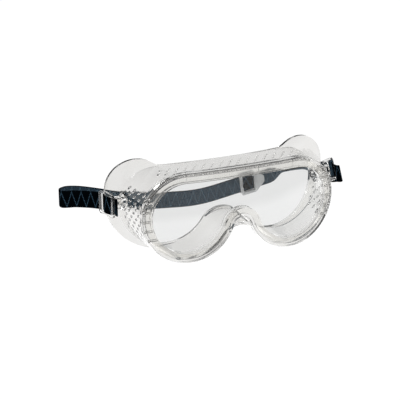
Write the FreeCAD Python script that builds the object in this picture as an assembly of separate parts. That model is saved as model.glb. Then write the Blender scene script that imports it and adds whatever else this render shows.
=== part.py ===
import FreeCAD, Part
import math
import os

from FreeCAD import Vector

# Direct-vent safety goggles: a soft clear frame with a wide lens rim, a perforated skirt and a
# flared face flange, a clear lens, and an elastic headband on two clips with a slider.
# X is to the right seen from the front, +Y goes back towards the wearer, +Z is up.
# While it is being made, Y = 0 is the foremost line of the rim; the last step centres the model.

# ---- driving dimensions, in mm ----
RIM_HALF_WIDTH = 79.5
RIM_HEIGHT = 70.5
RIM_DEPTH = 7.5
FRONT_RADIUS = 420.0        # plan radius of the bent front
LOBE_X = 42.5               # centre of each round eye lobe
LOBE_R = RIM_HALF_WIDTH - LOBE_X
RIM_NOSE_Z = 31.0           # top of the nose arch under the rim
WEB_NOSE_Z = 21.8           # top of the nose notch under the web
LIP_WIDTH = 7.2             # how far the rim covers the lens
FRONT_LIP = 2.0             # thickness of the lip in front of the lens
LENS_THICKNESS = 2.0
LENS_PLAY = 0.15            # gap between the lens and each wall of its groove
LENS_INSET = 2.6            # lens edge, in from the outside of the rim

FACE_RADIUS = 377.0         # plan radius of the face flange
FACE_Y = 40.4               # rear of the flange on the centre line
FLANGE_THICKNESS = 2.2
FLANGE_HALF_WIDTH = 92.0
EAR_X = 68.5
EAR_TOP_Z = 72.6
FLANGE_TOP_Z = 66.2
WALL = 2.0                  # thickness of the skirt
SKIRT_HALF_WIDTH = 83.0     # at the flange
SKIRT_TOP_Z = 64.8          # at the flange

VENT_R = 1.0
VENT_PITCH = 7.4
VENT_ROW = 3.7

AXIS_Y = 40.0               # headband axis through the two sockets
AXIS_Z = 42.0
SOCKET_R = 5.0              # moulded boss on each side of the skirt
SOCKET_INNER_X = 79.4       # its seat inside the skirt, behind which the pin's head snaps
PIN_R = 2.6
PIN_HEAD_R = 3.8
PIN_PLAY = 0.06
SEAT_GAP = 0.1
CLIP_X = 93.6               # mid-plane of the clip at its pin
CLIP_THICKNESS = 1.8
CLIP_HEIGHT = 17.5
CLIP_FRONT = 10.6           # from the pin to the front edge
CLIP_BEND = 3.9             # from the pin to the bend
CLIP_REAR = 10.8            # from the pin to the rear edge
CLIP_TILT = math.radians(22.0)
SLOT_NEAR = 3.6             # near and far edges of both slots, from the pin
SLOT_FAR = 7.8
RIGHT_DROP = math.radians(29.0)     # each clip hangs back and down on its pin
LEFT_DROP = math.radians(3.8)

STRAP_WIDTH = 13.5
STRAP_THICKNESS = 1.3
TURN_X = 119.5              # outermost points of the band's loop
TURN_BACK = 30.0            # how far behind the headband axis the band turns inwards
TURN_GAP = 0.4
BACK_Y = 86.0
BACK_Z = 20.5               # height of the back of the band at x = 20
BACK_SLOPE = 0.16           # its rise towards the right
STRAIGHT_FROM = 20.0        # the slider travels on a straight stretch
STRAIGHT_TO = 64.0
RIGHT_TWIST = math.radians(64.0)    # the band rolls over to the right of the slider

SLIDER_X = 46.0
SLIDER_LEFT = -7.0          # ends of the slider, from the middle of its centre bar
SLIDER_RIGHT = 14.0
SLIDER_HEIGHT = 18.0
SLIDER_TIP = 5.0            # height of its tapered right end
SLIDER_BAR = 1.6
SLIDER_PLAY = 0.35
SLIDER_WINDOW = 9.6
CENTRE_BAR = 4.0

EDGE_R = 0.8                # rounding of the soft frame's outer edges
BIG = 300.0
UP = Vector(0, 0, 1)


# ---- small helpers ----
def arc(start, centre, radius, mid_angle, end):
    """Arc in the XZ plane from start to end, bulging where mid_angle points from centre."""
    mid = Vector(centre[0] + radius * math.cos(mid_angle), 0, centre[1] + radius * math.sin(mid_angle))
    return Part.Arc(Vector(start[0], 0, start[1]), mid, Vector(end[0], 0, end[1])).toShape()


def mirror_x(shape):
    return shape.mirror(Vector(0, 0, 0), Vector(1, 0, 0))


def closed_outline(right_edges, y):
    """Closed wire at depth y from the right half's edges, listed from the nose to the top."""
    left_edges = [mirror_x(edge) for edge in right_edges]
    wire = Part.Wire(Part.__sortEdges__(right_edges + left_edges))
    wire.translate(Vector(0, y, 0))
    return wire


def nose_arc(lobe_x, lobe_z, lobe_r, apex_z):
    """Radius and centre height of the nose arch that is tangent to both lobes."""
    drop = lobe_z - apex_z
    radius = (lobe_x ** 2 + drop ** 2 - lobe_r ** 2) / (2 * (lobe_r - drop))
    return radius, apex_z - radius


def goggle_outline(y, lobe_x, lobe_z, lobe_r, top_z, apex_z, inset=0.0):
    """Two round lobes, a nose arch and a straight top with round corners, moved in by inset."""
    side_x = lobe_x + lobe_r
    corner_r = top_z - lobe_z
    corner_x = side_x - corner_r
    nose_r, nose_z = nose_arc(lobe_x, lobe_z, lobe_r, apex_z)
    reach = math.atan2(lobe_z - nose_z, lobe_x)
    nose_r += inset
    lobe_r -= inset
    corner_r -= inset
    apex = (0, nose_z + nose_r)
    meet = (nose_r * math.cos(reach), nose_z + nose_r * math.sin(reach))
    side = (lobe_x + lobe_r, lobe_z)
    corner = (corner_x, lobe_z + corner_r)
    half_way = 0.5 * (reach + math.pi / 2)
    under = 0.5 * (reach - math.pi)
    edges = [
        arc(apex, (0, nose_z), nose_r, half_way, meet),
        arc(meet, (lobe_x, lobe_z), lobe_r, under, side),
        arc(side, (corner_x, lobe_z), corner_r, math.pi / 4, corner),
        Part.LineSegment(Vector(corner[0], 0, corner[1]), Vector(0, 0, corner[1])).toShape(),
    ]
    return closed_outline(edges, y)


def rim_outline(y, inset=0.0, apex_z=RIM_NOSE_Z):
    return goggle_outline(y, LOBE_X, LOBE_R, LOBE_R, RIM_HEIGHT, apex_z, inset)


def prism(wire, depth):
    return Part.Face(wire).extrude(Vector(0, depth, 0))


def behind(radius, y):
    """Everything behind an upright cylindrical face of the given plan radius whose middle is at y."""
    return Part.makeCylinder(radius, BIG, Vector(0, y + radius, -BIG / 3), UP)


def front_layer(shape, start, thickness):
    """The part of shape between two depths measured from the bent front."""
    layer = shape.common(behind(FRONT_RADIUS - start, start))
    return layer.cut(behind(FRONT_RADIUS - start - thickness, start + thickness))


# ---- frame: rim, skirt, flange, sockets ----
def round_edges(shape, keep, radius):
    """Round those edges of a shape that keep() accepts."""
    return shape.makeFillet(radius, [edge for edge in shape.Edges if keep(edge)])


def on_front(edge):
    """True for an edge that runs along the bent front face."""
    probe = [edge.valueAt(edge.FirstParameter + part * (edge.LastParameter - edge.FirstParameter))
             for part in (0.0, 0.5, 1.0)]
    return all(abs(math.hypot(p.x, p.y - FRONT_RADIUS) - FRONT_RADIUS) < 0.01 for p in probe)


def make_rim():
    body = front_layer(prism(rim_outline(-10), 60), 0, RIM_DEPTH)
    body = round_edges(body, on_front, EDGE_R)
    opening = prism(rim_outline(-20, LIP_WIDTH), 80)
    body = body.cut(opening)
    groove = prism(rim_outline(-20, LENS_INSET - LENS_PLAY), 80)
    groove = front_layer(groove, FRONT_LIP, LENS_THICKNESS + 2 * LENS_PLAY)
    return body.cut(groove)


def make_web():
    """Rear wall of the rim's groove, which comes down below the rim to close the nose."""
    plate = prism(rim_outline(-10, 1.0, WEB_NOSE_Z), 60).cut(prism(rim_outline(-20, LIP_WIDTH), 80))
    return front_layer(plate, RIM_DEPTH - WALL, WALL)


def skirt_solid(inset):
    front = rim_outline(0, 1.0 + inset, WEB_NOSE_Z)
    rear_r = 37.0
    rear = goggle_outline(56, SKIRT_HALF_WIDTH - rear_r, 38.5, rear_r, SKIRT_TOP_Z, 27.0, inset)
    return Part.makeLoft([front, rear], True, True)


def make_skirt():
    wall = skirt_solid(0.0).cut(skirt_solid(WALL))
    wall = wall.common(behind(FRONT_RADIUS - RIM_DEPTH + WALL, RIM_DEPTH - WALL))
    return wall.cut(behind(FACE_RADIUS, FACE_Y))


def flange_outline():
    """Outline of the face flange: round lobes below, round ears above, a dip beside each ear."""
    lobe_x = 50.0
    lobe_r = FLANGE_HALF_WIDTH - lobe_x
    nose_r, nose_z = nose_arc(lobe_x, lobe_r, lobe_r, 24.0)
    reach = math.atan2(lobe_r - nose_z, lobe_x)
    ear_r = FLANGE_HALF_WIDTH - EAR_X
    ear_z = EAR_TOP_Z - ear_r
    dip_r = 14.0
    dip_z = FLANGE_TOP_Z + dip_r
    dip_x = EAR_X - math.sqrt((ear_r + dip_r) ** 2 - (dip_z - ear_z) ** 2)
    lean = math.atan2(dip_z - ear_z, dip_x - EAR_X)
    apex = (0, nose_z + nose_r)
    meet = (nose_r * math.cos(reach), nose_z + nose_r * math.sin(reach))
    side_low = (FLANGE_HALF_WIDTH, lobe_r)
    side_high = (FLANGE_HALF_WIDTH, ear_z)
    ear_end = (EAR_X + ear_r * math.cos(lean), ear_z + ear_r * math.sin(lean))
    edges = [
        arc(apex, (0, nose_z), nose_r, 0.5 * (reach + math.pi / 2), meet),
        arc(meet, (lobe_x, lobe_r), lobe_r, 0.5 * (reach - math.pi), side_low),
        Part.LineSegment(Vector(side_low[0], 0, side_low[1]), Vector(side_high[0], 0, side_high[1])).toShape(),
        arc(side_high, (EAR_X, ear_z), ear_r, 0.5 * lean, ear_end),
        arc(ear_end, (dip_x, dip_z), dip_r, 0.5 * (lean - math.pi - math.pi / 2), (dip_x, FLANGE_TOP_Z)),
        Part.LineSegment(Vector(dip_x, 0, FLANGE_TOP_Z), Vector(0, 0, FLANGE_TOP_Z)).toShape(),
    ]
    return closed_outline(edges, 10)


def make_flange():
    plate = prism(flange_outline(), 80)
    plate = plate.common(behind(FACE_RADIUS + FLANGE_THICKNESS, FACE_Y - FLANGE_THICKNESS))
    plate = plate.cut(behind(FACE_RADIUS, FACE_Y))
    return plate.cut(skirt_solid(0.5 * WALL))


def side_x_at(y):
    """Outer face of the skirt's side, half way up."""
    front_x = RIM_HALF_WIDTH - 1.0
    return front_x + (SKIRT_HALF_WIDTH - front_x) * y / 56.0


def make_socket():
    """Boss on the right side of the skirt, which the clip's pin plugs into."""
    outer_x = CLIP_X - 0.5 * CLIP_THICKNESS - SEAT_GAP
    along = Vector(1, 0, 0)
    boss = Part.makeCylinder(SOCKET_R, outer_x - SOCKET_INNER_X, Vector(SOCKET_INNER_X, AXIS_Y, AXIS_Z), along)
    foot = Part.makeCone(SOCKET_R + 2.4, SOCKET_R, 3.4, Vector(side_x_at(AXIS_Y) - 1.0, AXIS_Y, AXIS_Z), along)
    return boss.fuse(foot)


def make_bore():
    """Bore of the right socket, with a wider pocket inside the skirt for the pin's head."""
    along = Vector(1, 0, 0)
    bore = Part.makeCylinder(PIN_R + PIN_PLAY, 25.0, Vector(SOCKET_INNER_X - 5.0, AXIS_Y, AXIS_Z), along)
    pocket = Part.makeCylinder(PIN_HEAD_R + 0.4, 5.0, Vector(SOCKET_INNER_X - 5.0, AXIS_Y, AXIS_Z), along)
    return bore.fuse(pocket)


def side_vents():
    """Staggered round vents through both side walls, clear of the sockets."""
    holes = []
    for row in range(10):
        z = 19.5 + row * VENT_ROW
        shift = 0.5 * VENT_PITCH * (row % 2)
        for column in range(5):
            y = 12.6 + shift + column * VENT_PITCH
            if y > 41.5 or math.hypot(y - AXIS_Y, z - AXIS_Z) < SOCKET_R + 3.6:
                continue
            holes.append(Part.makeCylinder(VENT_R, 30, Vector(60, y, z), Vector(1, 0, 0)))
            holes.append(Part.makeCylinder(VENT_R, 30, Vector(-90, y, z), Vector(1, 0, 0)))
    return holes


def top_vents():
    """Staggered round vents through the top wall."""
    holes = []
    for row in range(4):
        y = 13.5 + row * 5.4
        shift = 0.5 * VENT_PITCH * (row % 2)
        for column in range(-8, 9):
            x = shift + column * VENT_PITCH
            if abs(x) < 62.0:
                holes.append(Part.makeCylinder(VENT_R, 30, Vector(x, y, 50), UP))
    return holes


def tab_slots():
    """Narrow slot through the top wall behind each upper corner of the lens."""
    slots = []
    for side in (-1, 1):
        slots.append(Part.makeBox(12.0, 1.6, 30, Vector(side * 38.0 - 6.0, 9.4, 50)))
    return slots


def make_frame():
    socket = make_socket()
    frame = make_rim().fuse([make_web(), make_skirt(), make_flange(), socket, mirror_x(socket)])
    frame = frame.removeSplitter()
    vents = Part.makeCompound(side_vents() + top_vents() + tab_slots())
    # A shallow blank recess in the front of the rim, above the lens.
    recess = front_layer(Part.makeBox(24.0, 60, 3.6, Vector(-12.0, -10, 65.3)), 0, 0.6)
    bore = make_bore()
    return frame.cut(vents).cut([recess, bore, mirror_x(bore)])


# ---- lens ----
def make_lens():
    sheet = prism(rim_outline(-20, LENS_INSET), 80)
    return front_layer(sheet, FRONT_LIP + LENS_PLAY, LENS_THICKNESS)


# ---- clips ----
def clip_point(along, out):
    """Plan point on the right clip: distance back from its pin, and outwards from its mid-plane."""
    if along <= CLIP_BEND:
        return Vector(CLIP_X + out, AXIS_Y + along, 0)
    back = Vector(math.sin(CLIP_TILT), math.cos(CLIP_TILT), 0)
    outward = Vector(math.cos(CLIP_TILT), -math.sin(CLIP_TILT), 0)
    return Vector(CLIP_X, AXIS_Y + CLIP_BEND, 0) + back * (along - CLIP_BEND) + outward * out


def make_clip():
    """Right clip: a bent plate with two slots for the band, and a pin with a snap head inside it."""
    half = 0.5 * CLIP_THICKNESS
    bend = half * math.tan(0.5 * CLIP_TILT)
    plan = [
        clip_point(-CLIP_FRONT, -half),
        clip_point(-CLIP_FRONT, half),
        Vector(CLIP_X + half, AXIS_Y + CLIP_BEND - bend, 0),
        clip_point(CLIP_REAR, half),
        clip_point(CLIP_REAR, -half),
        Vector(CLIP_X - half, AXIS_Y + CLIP_BEND + bend, 0),
    ]
    plate = Part.Face(Part.makePolygon(plan + [plan[0]])).extrude(Vector(0, 0, CLIP_HEIGHT))
    plate.translate(Vector(0, 0, AXIS_Z - 0.5 * CLIP_HEIGHT))
    corners = [edge for edge in plate.Edges if is_plate_corner(edge)]
    plate = plate.makeFillet(2.6, corners)
    slot_height = STRAP_WIDTH + 0.6
    slot_size = (12.0, SLOT_FAR - SLOT_NEAR, slot_height)
    front = Part.makeBox(*slot_size, Vector(CLIP_X - 6.0, AXIS_Y - SLOT_FAR, AXIS_Z - 0.5 * slot_height))
    rear = Part.makeBox(*slot_size, Vector(-6.0, 0, -0.5 * slot_height))
    rear.rotate(Vector(0, 0, 0), UP, -math.degrees(CLIP_TILT))
    rear.translate(clip_point(SLOT_NEAR + 0.4, 0) + Vector(0, 0, AXIS_Z))
    plate = plate.cut([front, rear])
    along = Vector(-1, 0, 0)
    root_x = CLIP_X - half + 0.4
    head_x = SOCKET_INNER_X - SEAT_GAP
    pin = Part.makeCylinder(PIN_R, root_x - head_x + 0.4, Vector(root_x, AXIS_Y, AXIS_Z), along)
    head = Part.makeCone(PIN_HEAD_R, PIN_HEAD_R - 1.5, 2.2, Vector(head_x, AXIS_Y, AXIS_Z), along)
    return plate.fuse([pin, head]).removeSplitter()


def is_plate_corner(edge):
    """True for the short through-thickness edges at the four corners of the clip's plate."""
    box = edge.BoundBox
    return edge.Length < CLIP_THICKNESS * 1.01 and box.ZLength < 0.01 and (
        box.YMax < AXIS_Y - CLIP_FRONT + 0.1 or box.YMin > AXIS_Y + CLIP_BEND + 3.0)


# ---- headband ----
def drop_clip(shape, drop):
    """Turn a shape down about the headband axis."""
    shape.rotate(Vector(0, AXIS_Y, AXIS_Z), Vector(1, 0, 0), -math.degrees(drop))
    return shape


def hung_point(side, x, back, drop):
    """Point at x, a given distance behind the headband axis, on a clip turned down by drop."""
    return Vector(side * x, AXIS_Y + back * math.cos(drop), AXIS_Z - back * math.sin(drop))


def band_section(path, leans, index):
    """Four corners of the band's section at one point of its path, mitred between its two runs."""
    run_in = path[index] - path[index - 1] if index else path[1] - path[0]
    run_out = path[index + 1] - path[index] if index < len(path) - 1 else run_in
    run_in = Vector(run_in).normalize()
    run_out = Vector(run_out).normalize()
    tangent = (run_in + run_out).normalize()
    upright = Vector(0, -math.sin(leans[index]), math.cos(leans[index]))
    across = (upright - tangent * upright.dot(tangent)).normalize()
    through = tangent.cross(across)
    half_w = across * (0.5 * STRAP_WIDTH)
    half_t = through * (0.5 * STRAP_THICKNESS / max(tangent.dot(run_in), 0.6))
    centre = path[index]
    return [centre - half_w - half_t, centre + half_w - half_t, centre + half_w + half_t, centre - half_w + half_t]


def triangle(a, b, c):
    return Part.Face(Part.makePolygon([a, b, c, a]))


def band_solid(path, leans):
    """Closed solid of the band along a path of points, leaning by an angle at each point."""
    sections = [band_section(path, leans, index) for index in range(len(path))]
    faces = []
    for near, far in zip(sections[:-1], sections[1:]):
        for k in range(4):
            n = (k + 1) % 4
            faces.append(triangle(near[k], near[n], far[n]))
            faces.append(triangle(near[k], far[n], far[k]))
    for end in (sections[0], sections[-1]):
        faces.append(triangle(end[0], end[1], end[2]))
        faces.append(triangle(end[0], end[2], end[3]))
    shell = Part.makeShell(faces)
    shell.sewShape()
    solid = Part.makeSolid(shell)
    if solid.Volume < 0:
        solid.reverse()
    return solid


def smooth_path(points, start_run, end_run, steps):
    """Smooth curve through the given points with its end directions, in steps between each two."""
    runs = [start_run]
    runs += [(after - before).normalize() for before, after in zip(points[:-2], points[2:])]
    runs.append(end_run)
    path = []
    for k in range(len(points) - 1):
        near, far = points[k], points[k + 1]
        span = (far - near).Length
        for step in range(steps):
            t = step / steps
            curve = near * (2 * t ** 3 - 3 * t ** 2 + 1) + far * (3 * t ** 2 - 2 * t ** 3)
            bend = runs[k] * (span * (t ** 3 - 2 * t ** 2 + t)) + runs[k + 1] * (span * (t ** 3 - t ** 2))
            path.append(curve + bend)
    return path + [points[-1]]


def clip_weave(side, drop):
    """Path of the band through a clip: under its front bar, over the middle, under its rear bar."""
    gap = 0.5 * (CLIP_THICKNESS + STRAP_THICKNESS) + 0.15
    route = [
        (-CLIP_FRONT - 2.2, -gap),
        (-SLOT_FAR + 0.4, -gap),
        (-SLOT_NEAR - 0.8, gap),
        (SLOT_NEAR + 0.8, gap),
        (SLOT_FAR - 0.2, -gap),
        (CLIP_REAR + 0.2, -gap),
        (CLIP_REAR + 3.4, -gap + 1.0),
    ]
    points = [clip_point(along, out) for along, out in route]
    return [hung_point(side, point.x, point.y - AXIS_Y, drop) for point in points]


def turn_run(drop):
    """Direction of the band where it turns inwards."""
    return Vector(0, math.cos(drop), -math.sin(drop))


def make_strap_side(side, drop):
    """Band from its end under a clip's front bar out to the end turn."""
    weave = clip_weave(side, drop)
    leave = weave[-1]
    heading = (leave - weave[-2]).normalize()
    turn = hung_point(side, TURN_X, TURN_BACK, drop)
    before = turn - turn_run(drop) * 0.3
    middle = hung_point(side, 109.0, 24.6, drop)
    path = weave[:-1] + smooth_path([leave, middle, before], heading, turn_run(drop), 8) + [turn]
    return band_solid(path, [-drop] * len(path))


def back_height(x):
    return BACK_Z + (x - 20.0) * BACK_SLOPE


def ease(x, start, end):
    """Smooth step from 0 at start to 1 at end."""
    place = min(1.0, max(0.0, (x - start) / (end - start)))
    return place * place * (3 - 2 * place)


def back_lean(x):
    """Lean of the band behind the head: as its clips hang at the ends, rolled over to the right."""
    if x < 0:
        return -LEFT_DROP * ease(-x, 90.0, 112.0)
    rolled = RIGHT_TWIST * ease(x, STRAIGHT_TO, 78.0)
    return rolled + (-RIGHT_DROP - RIGHT_TWIST) * ease(x, 96.0, 118.0)


def make_strap_back():
    """Back of the band: round each end turn and across behind the head, sagging in the middle."""
    left_run = turn_run(LEFT_DROP)
    right_run = turn_run(RIGHT_DROP)
    left_end = hung_point(-1, TURN_X, TURN_BACK + TURN_GAP, LEFT_DROP)
    right_end = hung_point(1, TURN_X, TURN_BACK + TURN_GAP, RIGHT_DROP)
    straight_start = Vector(STRAIGHT_FROM, BACK_Y, back_height(STRAIGHT_FROM))
    straight_end = Vector(STRAIGHT_TO, BACK_Y, back_height(STRAIGHT_TO))
    level_run = Vector(1, 0, BACK_SLOPE).normalize()
    left_points = [
        left_end + left_run * 0.3,
        Vector(-117.0, 77.6, 39.2),
        Vector(-108.5, 83.2, 37.8),
        Vector(-94, BACK_Y, 34.4),
        Vector(-66, BACK_Y, 26.6),
        Vector(-43, BACK_Y, 22.0),
        Vector(-22, BACK_Y, 19.9),
        Vector(0, BACK_Y, 18.6),
        straight_start,
    ]
    right_points = [
        straight_end,
        Vector(77, 83.4, 30.4),
        Vector(91, 82.0, 31.5),
        Vector(103, 81.0, 30.4),
        Vector(111.5, 78.8, 27.9),
        Vector(117.8, 73.6, 26.0),
        right_end + right_run * 0.3,
    ]
    path = [left_end] + smooth_path(left_points, left_run, level_run, 6)
    path += smooth_path(right_points, level_run, right_run * -1, 7) + [right_end]
    return band_solid(path, [back_lean(point.x) for point in path])


# ---- slider ----
def make_slider():
    """Slider: an end bar and a tapered tab in front of the band, a bar behind it, and two rails."""
    gap = 0.5 * STRAP_THICKNESS + SLIDER_PLAY
    depth = gap + SLIDER_BAR
    inner = STRAP_WIDTH + 2 * SLIDER_PLAY + 0.1
    half = 0.5 * SLIDER_HEIGHT
    shoulder = 0.5 * SLIDER_WINDOW + 1.0
    outline = [
        Vector(SLIDER_LEFT, -depth, -half),
        Vector(shoulder, -depth, -half),
        Vector(SLIDER_RIGHT, -depth, -0.5 * SLIDER_TIP),
        Vector(SLIDER_RIGHT, -depth, 0.5 * SLIDER_TIP),
        Vector(shoulder, -depth, half),
        Vector(SLIDER_LEFT, -depth, half),
    ]
    block = Part.Face(Part.makePolygon(outline + [outline[0]])).extrude(Vector(0, 2 * depth, 0))
    uprights = [edge for edge in block.Edges if abs(edge.tangentAt(edge.FirstParameter).y) > 0.5]
    block = block.makeFillet(1.8, uprights)
    bar = 0.5 * CENTRE_BAR
    channel = Part.makeBox(60, 2 * gap, inner, Vector(-30, -gap, -0.5 * inner))
    window = Part.makeBox(SLIDER_WINDOW, depth, inner, Vector(-0.5 * SLIDER_WINDOW, -depth, -0.5 * inner))
    behind_left = Part.makeBox(20, depth, inner, Vector(-20 - bar, 0, -0.5 * inner))
    behind_right = Part.makeBox(20, depth, inner, Vector(bar, 0, -0.5 * inner))
    tab_back = Part.makeBox(20, BIG, 2 * BIG, Vector(shoulder + 0.6, -gap, -BIG))
    return place_on_back(block.cut([channel, window, behind_left, behind_right, tab_back]))


def place_on_back(shape):
    """Turn a shape from the slider's own axes to its place on the back of the band."""
    shape.rotate(Vector(0, 0, 0), Vector(0, 1, 0), -math.degrees(math.atan(BACK_SLOPE)))
    shape.translate(Vector(SLIDER_X, BACK_Y, back_height(SLIDER_X)))
    return shape


# ---- build and write ----
def centre_shift(shapes):
    """Move that puts the origin under the middle of the whole object."""
    boxes = [shape.optimalBoundingBox(False, False) for shape in shapes]
    low_y = min(box.YMin for box in boxes)
    high_y = max(box.YMax for box in boxes)
    low_z = min(box.ZMin for box in boxes)
    return Vector(0, -0.5 * (low_y + high_y), -low_z)


def main():
    os.makedirs("parts", exist_ok=True)
    clip = make_clip()
    nodes = {
        "goggle_frame": make_frame(),
        "lens": make_lens(),
        "strap_clip_right": drop_clip(clip.copy(), RIGHT_DROP),
        "strap_clip_left": drop_clip(mirror_x(clip), LEFT_DROP),
        "strap_side_right": make_strap_side(1, RIGHT_DROP),
        "strap_side_left": make_strap_side(-1, LEFT_DROP),
        "strap_back": make_strap_back(),
        "strap_slider": make_slider(),
    }
    shift = centre_shift(nodes.values())
    for name, shape in nodes.items():
        shape.translate(shift)
        shape.exportStep("parts/" + name + ".step")
        box = shape.optimalBoundingBox(False, False)
        print(name, "valid", shape.isValid(), "solids", len(shape.Solids), "volume %.0f" % shape.Volume,
              "box %.1f %.1f %.1f to %.1f %.1f %.1f" % (box.XMin, box.YMin, box.ZMin, box.XMax, box.YMax, box.ZMax))
    print("shift", shift)
    print("headband axis at", Vector(0, AXIS_Y, AXIS_Z) + shift)


main()
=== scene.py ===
import math

import bpy
from mathutils import Matrix, Vector


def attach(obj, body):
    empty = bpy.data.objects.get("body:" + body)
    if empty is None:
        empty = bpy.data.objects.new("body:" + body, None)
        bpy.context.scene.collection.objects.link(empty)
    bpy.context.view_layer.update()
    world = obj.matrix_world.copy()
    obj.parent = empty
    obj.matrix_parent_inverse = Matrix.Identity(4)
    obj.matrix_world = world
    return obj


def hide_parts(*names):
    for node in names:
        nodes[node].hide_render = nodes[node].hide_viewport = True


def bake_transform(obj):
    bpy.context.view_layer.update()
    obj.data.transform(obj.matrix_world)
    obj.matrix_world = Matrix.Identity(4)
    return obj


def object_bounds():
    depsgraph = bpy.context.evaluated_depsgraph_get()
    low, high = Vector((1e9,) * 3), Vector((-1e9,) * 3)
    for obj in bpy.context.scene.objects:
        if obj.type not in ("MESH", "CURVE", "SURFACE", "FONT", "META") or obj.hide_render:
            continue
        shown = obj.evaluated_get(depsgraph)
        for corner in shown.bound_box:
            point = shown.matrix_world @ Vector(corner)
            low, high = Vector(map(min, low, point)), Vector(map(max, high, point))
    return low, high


# Clear safety goggles. The CAD nodes carry the shapes; the webbing is modelled here as one
# continuous elastic band. The band's own lengths are in millimetres, as in the part's source,
# and MM turns them into metres. Lights, floor and camera settings are in metres.

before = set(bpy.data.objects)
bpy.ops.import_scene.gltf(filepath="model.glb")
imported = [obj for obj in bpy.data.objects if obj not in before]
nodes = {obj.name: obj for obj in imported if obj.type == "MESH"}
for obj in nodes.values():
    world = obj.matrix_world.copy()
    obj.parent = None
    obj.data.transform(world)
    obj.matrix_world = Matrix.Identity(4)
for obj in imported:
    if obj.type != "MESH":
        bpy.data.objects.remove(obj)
cad_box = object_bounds()
scene = bpy.context.scene

MM = 0.001
SHIFT_Y = -44.8104          # from the goggles' own front line to the row frame
AXIS_Y, AXIS_Z = 40.0, 42.0
CLIP_X, CLIP_BEND, CLIP_TILT = 93.6, 3.9, math.radians(22.0)
CLIP_HALF, CLIP_FRONT, CLIP_REAR = 0.9, 10.6, 10.8
SLOT_NEAR, SLOT_FAR = 3.6, 7.8
DROP = {-1: math.radians(3.8), 1: math.radians(29.0)}
TURN_X, TURN_BACK = 119.5, 30.0
BACK_Y, BACK_Z, BACK_SLOPE = 86.0, 20.5, 0.16
STRAIGHT_FROM, STRAIGHT_TO = 20.0, 64.0
RIGHT_TWIST = math.radians(64.0)
SLIDER_X = 46.0
WEB_WIDTH, WEB_THICK = 13.4, 1.15
WEB_CLEARANCE = 0.22        # between the webbing and a clip's plate
ZIGZAG_PERIOD, ZIGZAG_REACH, ZIGZAG_HALF_WIDTH = 7.6, 6.1, 0.38
DASH_PERIOD, RIB_PERIOD, WEFT_PERIOD = 1.3, 0.9, 0.7
FOLD_WIDTH, FOLD_THICK = 10.4, 1.0


# ---------- node helpers ----------
class Nodes:
    """A short way to wire a material."""

    def __init__(self, name):
        self.mat = bpy.data.materials.new(name)
        self.mat.use_nodes = True
        self.tree = self.mat.node_tree
        self.bsdf = self.tree.nodes["Principled BSDF"]

    def node(self, kind, **settings):
        made = self.tree.nodes.new(kind)
        for key, value in settings.items():
            setattr(made, key, value)
        return made

    def link(self, source, target):
        self.tree.links.new(source, target)

    def math(self, operation, a, b=None, c=None, clamp=False):
        made = self.node("ShaderNodeMath", operation=operation, use_clamp=clamp)
        for place, value in enumerate((a, b, c)):
            if value is None:
                continue
            if isinstance(value, (int, float)):
                made.inputs[place].default_value = value
            else:
                self.link(value, made.inputs[place])
        return made.outputs[0]

    def noise(self, scale, detail=3.0, rough=0.5):
        made = self.node("ShaderNodeTexNoise")
        made.inputs["Scale"].default_value = scale
        made.inputs["Detail"].default_value = detail
        made.inputs["Roughness"].default_value = rough
        self.link(self.node("ShaderNodeTexCoord").outputs["Object"], made.inputs["Vector"])
        return made.outputs["Fac"]

    def ramp(self, factor, *stops):
        made = self.node("ShaderNodeValToRGB")
        ramp = made.color_ramp
        while len(ramp.elements) < len(stops):
            ramp.elements.new(0.5)
        for element, (place, colour) in zip(ramp.elements, stops):
            element.position = place
            element.color = (*colour, 1.0)
        self.link(factor, made.inputs["Fac"])
        return made.outputs["Color"]

    def mix(self, factor, a, b):
        made = self.node("ShaderNodeMix", data_type="RGBA")
        sockets = [s for s in made.inputs if s.enabled]
        for socket, value in zip(sockets, (factor, a, b)):
            if isinstance(value, tuple):
                socket.default_value = (*value, 1.0)
            else:
                self.link(value, socket)
        return [s for s in made.outputs if s.enabled][0]

    def bump(self, height, strength, distance):
        made = self.node("ShaderNodeBump")
        made.inputs["Strength"].default_value = strength
        made.inputs["Distance"].default_value = distance
        self.link(height, made.inputs["Height"])
        self.link(made.outputs["Normal"], self.bsdf.inputs["Normal"])

    def set(self, **values):
        for key, value in values.items():
            self.bsdf.inputs[key.replace("_", " ")].default_value = value


def clear_plastic(name, low, high, rough, ior, wave, wave_scale, clarity=1.0):
    """Clear moulded plastic: a faint uneven tint, uneven polish and the slight waviness of a moulding."""
    n = Nodes(name)
    n.link(n.ramp(n.noise(38.0, 3.0), (0.35, low), (0.65, high)), n.bsdf.inputs["Base Color"])
    patches = n.noise(120.0, 4.0, 0.6)
    n.link(n.math("MULTIPLY_ADD", patches, rough[1] - rough[0], rough[0]), n.bsdf.inputs["Roughness"])
    n.set(Transmission_Weight=clarity, IOR=ior)
    n.bump(n.noise(wave_scale, 2.0), 0.6, wave)
    return n.mat


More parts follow.
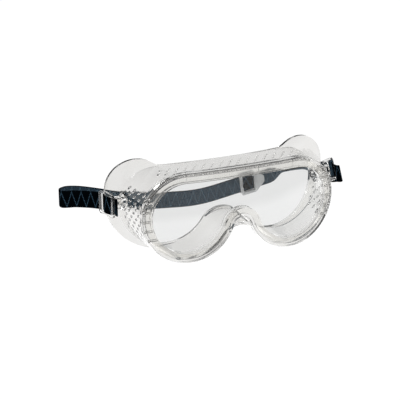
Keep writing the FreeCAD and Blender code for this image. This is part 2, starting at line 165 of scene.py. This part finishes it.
def webbing_material(name, shade, light, thread_colour, gloss):
    """Woven elastic: lengthwise ribs, a fine weft, and a dashed pale zigzag thread from edge to edge."""
    n = Nodes(name)
    coordinate = n.node("ShaderNodeUVMap", uv_map="web").outputs["UV"]
    split = n.node("ShaderNodeSeparateXYZ")
    n.link(coordinate, split.inputs[0])
    along, across = split.outputs[0], split.outputs[1]
    ribs = n.math("SINE", n.math("MULTIPLY", across, 2 * math.pi / RIB_PERIOD))
    weft = n.math("SINE", n.math("MULTIPLY", along, 2 * math.pi / WEFT_PERIOD))
    weave = n.math("MULTIPLY", n.math("MULTIPLY_ADD", ribs, 0.5, 0.5), n.math("MULTIPLY_ADD", weft, 0.5, 0.5))
    steepness = 4 * ZIGZAG_REACH / ZIGZAG_PERIOD
    swing = n.math("PINGPONG", along, 0.5 * ZIGZAG_PERIOD)
    line = n.math("MULTIPLY_ADD", swing, steepness, -ZIGZAG_REACH)
    slope = math.hypot(1.0, steepness)
    away = n.math("DIVIDE", n.math("ABSOLUTE", n.math("SUBTRACT", across, line)), slope)
    thread = n.math("SUBTRACT", 1.0, n.math("DIVIDE", away, ZIGZAG_HALF_WIDTH), clamp=True)
    dash = n.math("GREATER_THAN", n.math("SINE", n.math("MULTIPLY", across, 2 * math.pi / DASH_PERIOD)), -0.3)
    stitch = n.math("MULTIPLY", thread, dash, clamp=True)
    show = n.math("MULTIPLY", stitch, 2.4, clamp=True)
    base = n.mix(weave, shade, light)
    base = n.mix(n.math("MULTIPLY", n.noise(900.0, 3.0, 0.6), 0.4), base, light)
    n.link(n.mix(show, base, thread_colour), n.bsdf.inputs["Base Color"])
    n.set(Roughness=0.75, Specular_IOR_Level=gloss)
    height = n.math("ADD", n.math("MULTIPLY", weave, 0.5), n.math("MULTIPLY", stitch, 1.2))
    n.bump(height, 0.8, 0.00022)
    return n.mat


# ---------- the route of the webbing ----------
def clip_point(along, out):
    """Plan point of a bent clip: distance back from its pin, and outwards from its mid-plane."""
    if along <= CLIP_BEND:
        return CLIP_X + out, along
    past = along - CLIP_BEND
    return (CLIP_X + math.sin(CLIP_TILT) * past + math.cos(CLIP_TILT) * out,
            CLIP_BEND + math.cos(CLIP_TILT) * past - math.sin(CLIP_TILT) * out)


def hung(side, x, back):
    """Point at x and a distance behind the headband axis, turned down with its clip."""
    drop = DROP[side]
    return Vector((side * x, AXIS_Y + back * math.cos(drop), AXIS_Z - back * math.sin(drop)))


def turn_run(side):
    return Vector((0, math.cos(DROP[side]), -math.sin(DROP[side])))


def ease(x, start, end):
    place = min(1.0, max(0.0, (x - start) / (end - start)))
    return place * place * (3 - 2 * place)


def smooth(points, start_run, end_run, steps):
    """Smooth curve through points with given end directions."""
    runs = [start_run] + [(b - a).normalized() for a, b in zip(points[:-2], points[2:])] + [end_run]
    path = []
    for k in range(len(points) - 1):
        near, far = points[k], points[k + 1]
        span = (far - near).length
        for step in range(steps):
            t = step / steps
            place = near * (2 * t ** 3 - 3 * t ** 2 + 1) + far * (3 * t ** 2 - 2 * t ** 3)
            bend = runs[k] * (t ** 3 - 2 * t ** 2 + t) + runs[k + 1] * (t ** 3 - t ** 2)
            path.append(place + bend * span)
    return path + [points[-1]]


def side_route(side):
    """From the end under a clip's front bar, over its middle bar, under its rear bar, to the turn."""
    gap = CLIP_HALF + 0.5 * WEB_THICK + WEB_CLEARANCE
    route = [
        (-CLIP_FRONT - 2.2, -gap - 0.1), (-CLIP_FRONT + 1.0, -gap), (-SLOT_FAR + 0.7, -gap + 0.25),
        (-0.5 * (SLOT_NEAR + SLOT_FAR), 0.0), (-SLOT_NEAR - 0.5, gap - 0.2), (-SLOT_NEAR + 1.0, gap + 0.25),
        (0.0, gap + 0.55), (SLOT_NEAR - 1.0, gap + 0.25), (SLOT_NEAR + 0.5, gap - 0.2),
        (0.5 * (SLOT_NEAR + SLOT_FAR) - 0.1, 0.0), (SLOT_FAR - 0.9, -gap + 0.25), (SLOT_FAR + 1.2, -gap),
        (CLIP_REAR + 0.4, -gap + 0.1), (CLIP_REAR + 3.4, -gap + 1.0),
    ]
    points = [hung(side, *clip_point(along, out)) for along, out in route]
    start_run = (points[1] - points[0]).normalized()
    end_run = (points[-1] - points[-2]).normalized()
    head = smooth(points, start_run, end_run, 5)
    outward = [points[-1], hung(side, 109.0, 24.6), hung(side, TURN_X, TURN_BACK)]
    rest = smooth(outward, end_run, turn_run(side), 8)
    return head[:-1] + rest


def back_height(x):
    return BACK_Z + (x - 20.0) * BACK_SLOPE


def band_lean(point):
    """Lean of the band: as its clips hang at the ends, rolled over behind the head on the right."""
    side = 1 if point.x > 0 else -1
    if point.y < AXIS_Y + 28:
        return -DROP[side]
    if point.x < 0:
        return -DROP[-1] * ease(-point.x, 90.0, 112.0)
    rolled = RIGHT_TWIST * ease(point.x, STRAIGHT_TO, 78.0)
    return rolled + (-DROP[1] - RIGHT_TWIST) * ease(point.x, 96.0, 118.0)


def back_route():
    level = Vector((1, 0, BACK_SLOPE)).normalized()
    left = [hung(-1, TURN_X, TURN_BACK), Vector((-117.0, 77.6, 39.2)), Vector((-108.5, 83.2, 37.8)),
            Vector((-94, BACK_Y, 34.4)), Vector((-66, BACK_Y, 26.6)), Vector((-43, BACK_Y, 22.0)),
            Vector((-22, BACK_Y, 19.9)), Vector((0, BACK_Y, 18.6)),
            Vector((STRAIGHT_FROM, BACK_Y, back_height(STRAIGHT_FROM)))]
    right = [Vector((STRAIGHT_TO, BACK_Y, back_height(STRAIGHT_TO))), Vector((77, 83.4, 30.4)),
             Vector((91, 82.0, 31.5)), Vector((103, 81.0, 30.4)), Vector((111.5, 78.8, 27.9)),
             Vector((117.8, 73.6, 26.0)),
             hung(1, TURN_X, TURN_BACK)]
    straight = [left[-1].lerp(right[0], k / 12) for k in range(1, 12)]
    return smooth(left, turn_run(-1), level, 8) + straight + smooth(right, level, -turn_run(1), 8)


RING_FACES = 12


def web_ring(width, thick):
    """Points (across, through, v) round the webbing's section, with soft selvedges."""
    half, edge = 0.5 * width, 0.5 * thick
    ring = []
    for k in range(RING_FACES + 1):
        v = -1 + 2 * k / RING_FACES
        ring.append((v * (half - edge), edge, v * half))
    for k in (1, 2, 3):
        turn = math.pi / 2 - k * math.pi / 4
        ring.append((half - edge + edge * math.cos(turn), edge * math.sin(turn), half))
    for k in range(RING_FACES + 1):
        v = 1 - 2 * k / RING_FACES
        ring.append((v * (half - edge), -edge, v * half))
    for k in (1, 2, 3):
        turn = -math.pi / 2 - k * math.pi / 4
        ring.append((-half + edge + edge * math.cos(turn), edge * math.sin(turn), -half))
    return ring


def web_mesh(name, path, lean, ring, taper=None):
    """Sweeps the webbing's section along a path of points in local millimetres."""
    verts, faces, uvs = [], [], []
    along = 0.0
    count = len(ring)
    stations = []
    for i, place in enumerate(path):
        if i:
            along += (place - path[i - 1]).length
        run = (path[min(i + 1, len(path) - 1)] - path[max(i - 1, 0)]).normalized()
        angle = lean(place)
        upright = Vector((0, -math.sin(angle), math.cos(angle)))
        across = (upright - run * upright.dot(run)).normalized()
        through = run.cross(across)
        stations.append(along)
        for a, t, _ in ring:
            narrow = taper(i / (len(path) - 1)) if taper else 1.0
            point = place + across * a * narrow + through * t
            verts.append((point.x * MM, (point.y + SHIFT_Y) * MM, point.z * MM))
    for i in range(len(path) - 1):
        for k in range(count):
            n = (k + 1) % count
            faces.append((i * count + k, i * count + n, (i + 1) * count + n, (i + 1) * count + k))
            v0, v1 = ring[k][2], ring[n][2]
            uvs.append(((stations[i], v0), (stations[i], v1), (stations[i + 1], v1), (stations[i + 1], v0)))
    for i in (0, len(path) - 1):
        cap = [i * count + k for k in range(count)]
        if i == 0:
            cap.reverse()
        faces.append(tuple(cap))
        uvs.append(tuple((stations[i], ring[k % count][2]) for k in range(count)))
    mesh = bpy.data.meshes.new(name)
    mesh.from_pydata(verts, [], faces)
    layer = mesh.uv_layers.new(name="web")
    place = 0
    for corner in uvs:
        for uv in corner:
            layer.data[place].uv = uv
            place += 1
    for index, polygon in enumerate(mesh.polygons):
        polygon.use_smooth = len(polygon.vertices) == 4
        polygon.material_index = 1 if polygon.use_smooth and index % count < RING_FACES else 0
    mesh.validate()
    mesh.update()
    piece = bpy.data.objects.new(name, mesh)
    scene.collection.objects.link(piece)
    return piece


OUTER = webbing_material("woven_elastic_outer", (0.0004, 0.0008, 0.0012), (0.0020, 0.0036, 0.0052),
                         (0.05, 0.10, 0.15), 0.0)
# the inner face is a lighter blue-grey than the outer: partly its own colour, partly painted haze standing in
# for the lens's reflection laid over it
INNER_TONE_AND_PAINTED_HAZE = webbing_material("woven_elastic_inner_tone_and_painted_haze", (0.014, 0.028, 0.042), (0.034, 0.064, 0.095),
                         (0.085, 0.15, 0.20), 0.12)
route = side_route(-1) + back_route()[1:] + list(reversed(side_route(1)))[1:]
band = web_mesh("headband_webbing", route, band_lean, web_ring(WEB_WIDTH, WEB_THICK))
band.data.materials.append(OUTER)
band.data.materials.append(INNER_TONE_AND_PAINTED_HAZE)
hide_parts("strap_side_left", "strap_side_right", "strap_back")
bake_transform(band)

# the short fold of webbing that bulges out of the slider's window
fold_run = Vector((1, 0, BACK_SLOPE)).normalized()
fold_middle = Vector((SLIDER_X - 0.4, BACK_Y, back_height(SLIDER_X) + 1.2))
fold_route = [(-4.2, -1.3), (-4.1, -3.0), (-2.7, -4.8), (0.0, -5.5), (2.7, -4.8), (4.1, -3.0), (4.2, -1.3)]
fold_points = [fold_middle + fold_run * along + Vector((0, out, 0)) for along, out in fold_route]
fold = web_mesh("slider_fold", smooth(fold_points, fold_run, fold_run, 4), band_lean,
                web_ring(FOLD_WIDTH, FOLD_THICK), lambda t: 0.45 + 0.55 * math.sin(math.pi * t))
fold.data.materials.append(OUTER)
fold.data.materials.append(OUTER)
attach(fold, "slider")

PVC = clear_plastic("clear_vinyl", (0.935, 0.925, 0.905), (0.972, 0.966, 0.953),
                    (0.03, 0.09), 1.5, 0.0003, 22.0)
LENS = clear_plastic("clear_polycarbonate", (0.955, 0.962, 0.96), (0.975, 0.98, 0.978),
                     (0.01, 0.03), 1.58, 0.0001, 9.0)
CLIP = clear_plastic("clear_clip_plastic", (0.94, 0.94, 0.935), (0.98, 0.98, 0.975),
                     (0.05, 0.12), 1.5, 0.0002, 60.0)
# the slider is whitened and only partly clear: a painted highlight standing in for the pale highlights on its
# bars and tail
SLIDER_PAINTED_HIGHLIGHT = clear_plastic("slider_plastic_whitened_as_painted_highlight", (0.82, 0.83, 0.83), (0.92, 0.93, 0.93),
                      (0.08, 0.2), 1.5, 0.0002, 60.0, 0.45)

for name, material in (("goggle_frame", PVC), ("lens", LENS), ("strap_clip_left", CLIP),
                       ("strap_clip_right", CLIP), ("strap_slider", SLIDER_PAINTED_HIGHLIGHT)):
    nodes[name].data.materials.clear()
    nodes[name].data.materials.append(material)

# ---------- floor, light, camera ----------
floor_mesh = bpy.data.meshes.new("floor")
FLOOR_HALF = 6.0
floor_corners = [(x * FLOOR_HALF, y * FLOOR_HALF, 0) for x, y in ((-1, -1), (1, -1), (1, 1), (-1, 1))]
floor_mesh.from_pydata(floor_corners, [], [(0, 1, 2, 3)])
floor = bpy.data.objects.new("floor", floor_mesh)
scene.collection.objects.link(floor)
floor.location.z = cad_box[0][2] - 0.0002
floor_glow = Nodes("glowing_floor_with_painted_reflection")
light_path = floor_glow.node("ShaderNodeLightPath")
spot = floor_glow.node("ShaderNodeSeparateXYZ")
floor_glow.link(floor_glow.node("ShaderNodeTexCoord").outputs["Object"], spot.inputs[0])
# painted reflection: glossy rays see the floor glow bright close to the goggles and nearly black further in
# front, so the lens shows a painted light and dark reflection. The floor glows to every ray, plain white to
# the camera and pale grey to the rest, so it lights the goggles from below and shows hardly any shadow.
near = floor_glow.math("MULTIPLY_ADD", spot.outputs[1], 45.0, 6.6, clamp=True)
painted_reflection = floor_glow.mix(near, (0.02, 0.02, 0.02), (1.5, 1.5, 1.5))
seen = floor_glow.mix(light_path.outputs["Is Glossy Ray"], (0.75, 0.75, 0.74), painted_reflection)
seen = floor_glow.mix(light_path.outputs["Is Transmission Ray"], seen, (0.80, 0.80, 0.798))
tone = floor_glow.mix(light_path.outputs["Is Camera Ray"], seen, (1.0, 1.0, 1.0))
floor_glow.link(tone, floor_glow.bsdf.inputs["Emission Color"])
floor_glow.set(Base_Color=(0.1, 0.1, 0.1, 1.0), Roughness=0.9, Emission_Strength=1.0, Specular_IOR_Level=0.0)
floor.data.materials.append(floor_glow.mat)

world = bpy.data.worlds.new("studio")
scene.world = world
world.use_nodes = True
wt = world.node_tree
wt.nodes.clear()
out = wt.nodes.new("ShaderNodeOutputWorld")
plain = wt.nodes.new("ShaderNodeBackground")
plain.inputs["Color"].default_value = (1, 1, 1, 1)
studio = wt.nodes.new("ShaderNodeBackground")
coords = wt.nodes.new("ShaderNodeTexCoord")
sep = wt.nodes.new("ShaderNodeSeparateXYZ")
wt.links.new(coords.outputs["Generated"], sep.inputs[0])
ramp = wt.nodes.new("ShaderNodeValToRGB")
ramp.color_ramp.elements[0].color = (0.80, 0.80, 0.79, 1)
ramp.color_ramp.elements[1].position = 0.6
ramp.color_ramp.elements[1].color = (0.10, 0.10, 0.11, 1)
wt.links.new(sep.outputs["Z"], ramp.inputs["Fac"])
wt.links.new(ramp.outputs["Color"], studio.inputs["Color"])
ray = wt.nodes.new("ShaderNodeLightPath")
mix = wt.nodes.new("ShaderNodeMixShader")
wt.links.new(ray.outputs["Is Camera Ray"], mix.inputs["Fac"])
wt.links.new(studio.outputs[0], mix.inputs[1])
wt.links.new(plain.outputs[0], mix.inputs[2])
wt.links.new(mix.outputs[0], out.inputs[0])


def area_light(name, place, size, power):
    lamp = bpy.data.lights.new(name, "AREA")
    lamp.shape = "RECTANGLE"
    lamp.size, lamp.size_y = size
    lamp.energy = power
    made = bpy.data.objects.new(name, lamp)
    scene.collection.objects.link(made)
    made.location = place
    made.rotation_euler = (Vector((0, 0, 0.03)) - Vector(place)).to_track_quat("-Z", "Y").to_euler()


area_light("key_softbox", (-0.9, -0.7, 1.1), (0.7, 0.5), 9.0)
area_light("right_softbox", (1.2, -0.5, 0.7), (0.4, 0.8), 5.0)

scene.view_settings.view_transform = "Standard"
scene.cycles.max_bounces = 32
scene.cycles.transmission_bounces = 32
scene.cycles.glossy_bounces = 6

right = Vector((0.9007, -0.4344, 0.0)).normalized()
back = Vector((-0.40834, -0.84666, 0.34121)).normalized()
up = back.cross(right).normalized()
roll = math.radians(0.554)
turned_right = right * math.cos(roll) + up * math.sin(roll)
turned_up = up * math.cos(roll) - right * math.sin(roll)
eye = Vector((0, SHIFT_Y, 32.64)) - right * 32.91 + up * 10.98 + back * 1696.0
camera_data = bpy.data.cameras.new("camera")
camera = bpy.data.objects.new("camera", camera_data)
scene.collection.objects.link(camera)
camera.matrix_world = Matrix((
    (turned_right.x, turned_up.x, back.x, eye.x * MM),
    (turned_right.y, turned_up.y, back.y, eye.y * MM),
    (turned_right.z, turned_up.z, back.z, eye.z * MM),
    (0, 0, 0, 1),
))
camera_data.lens = 203.02
camera_data.sensor_width = 36.0
camera_data.clip_end = 30.0
scene.camera = camera
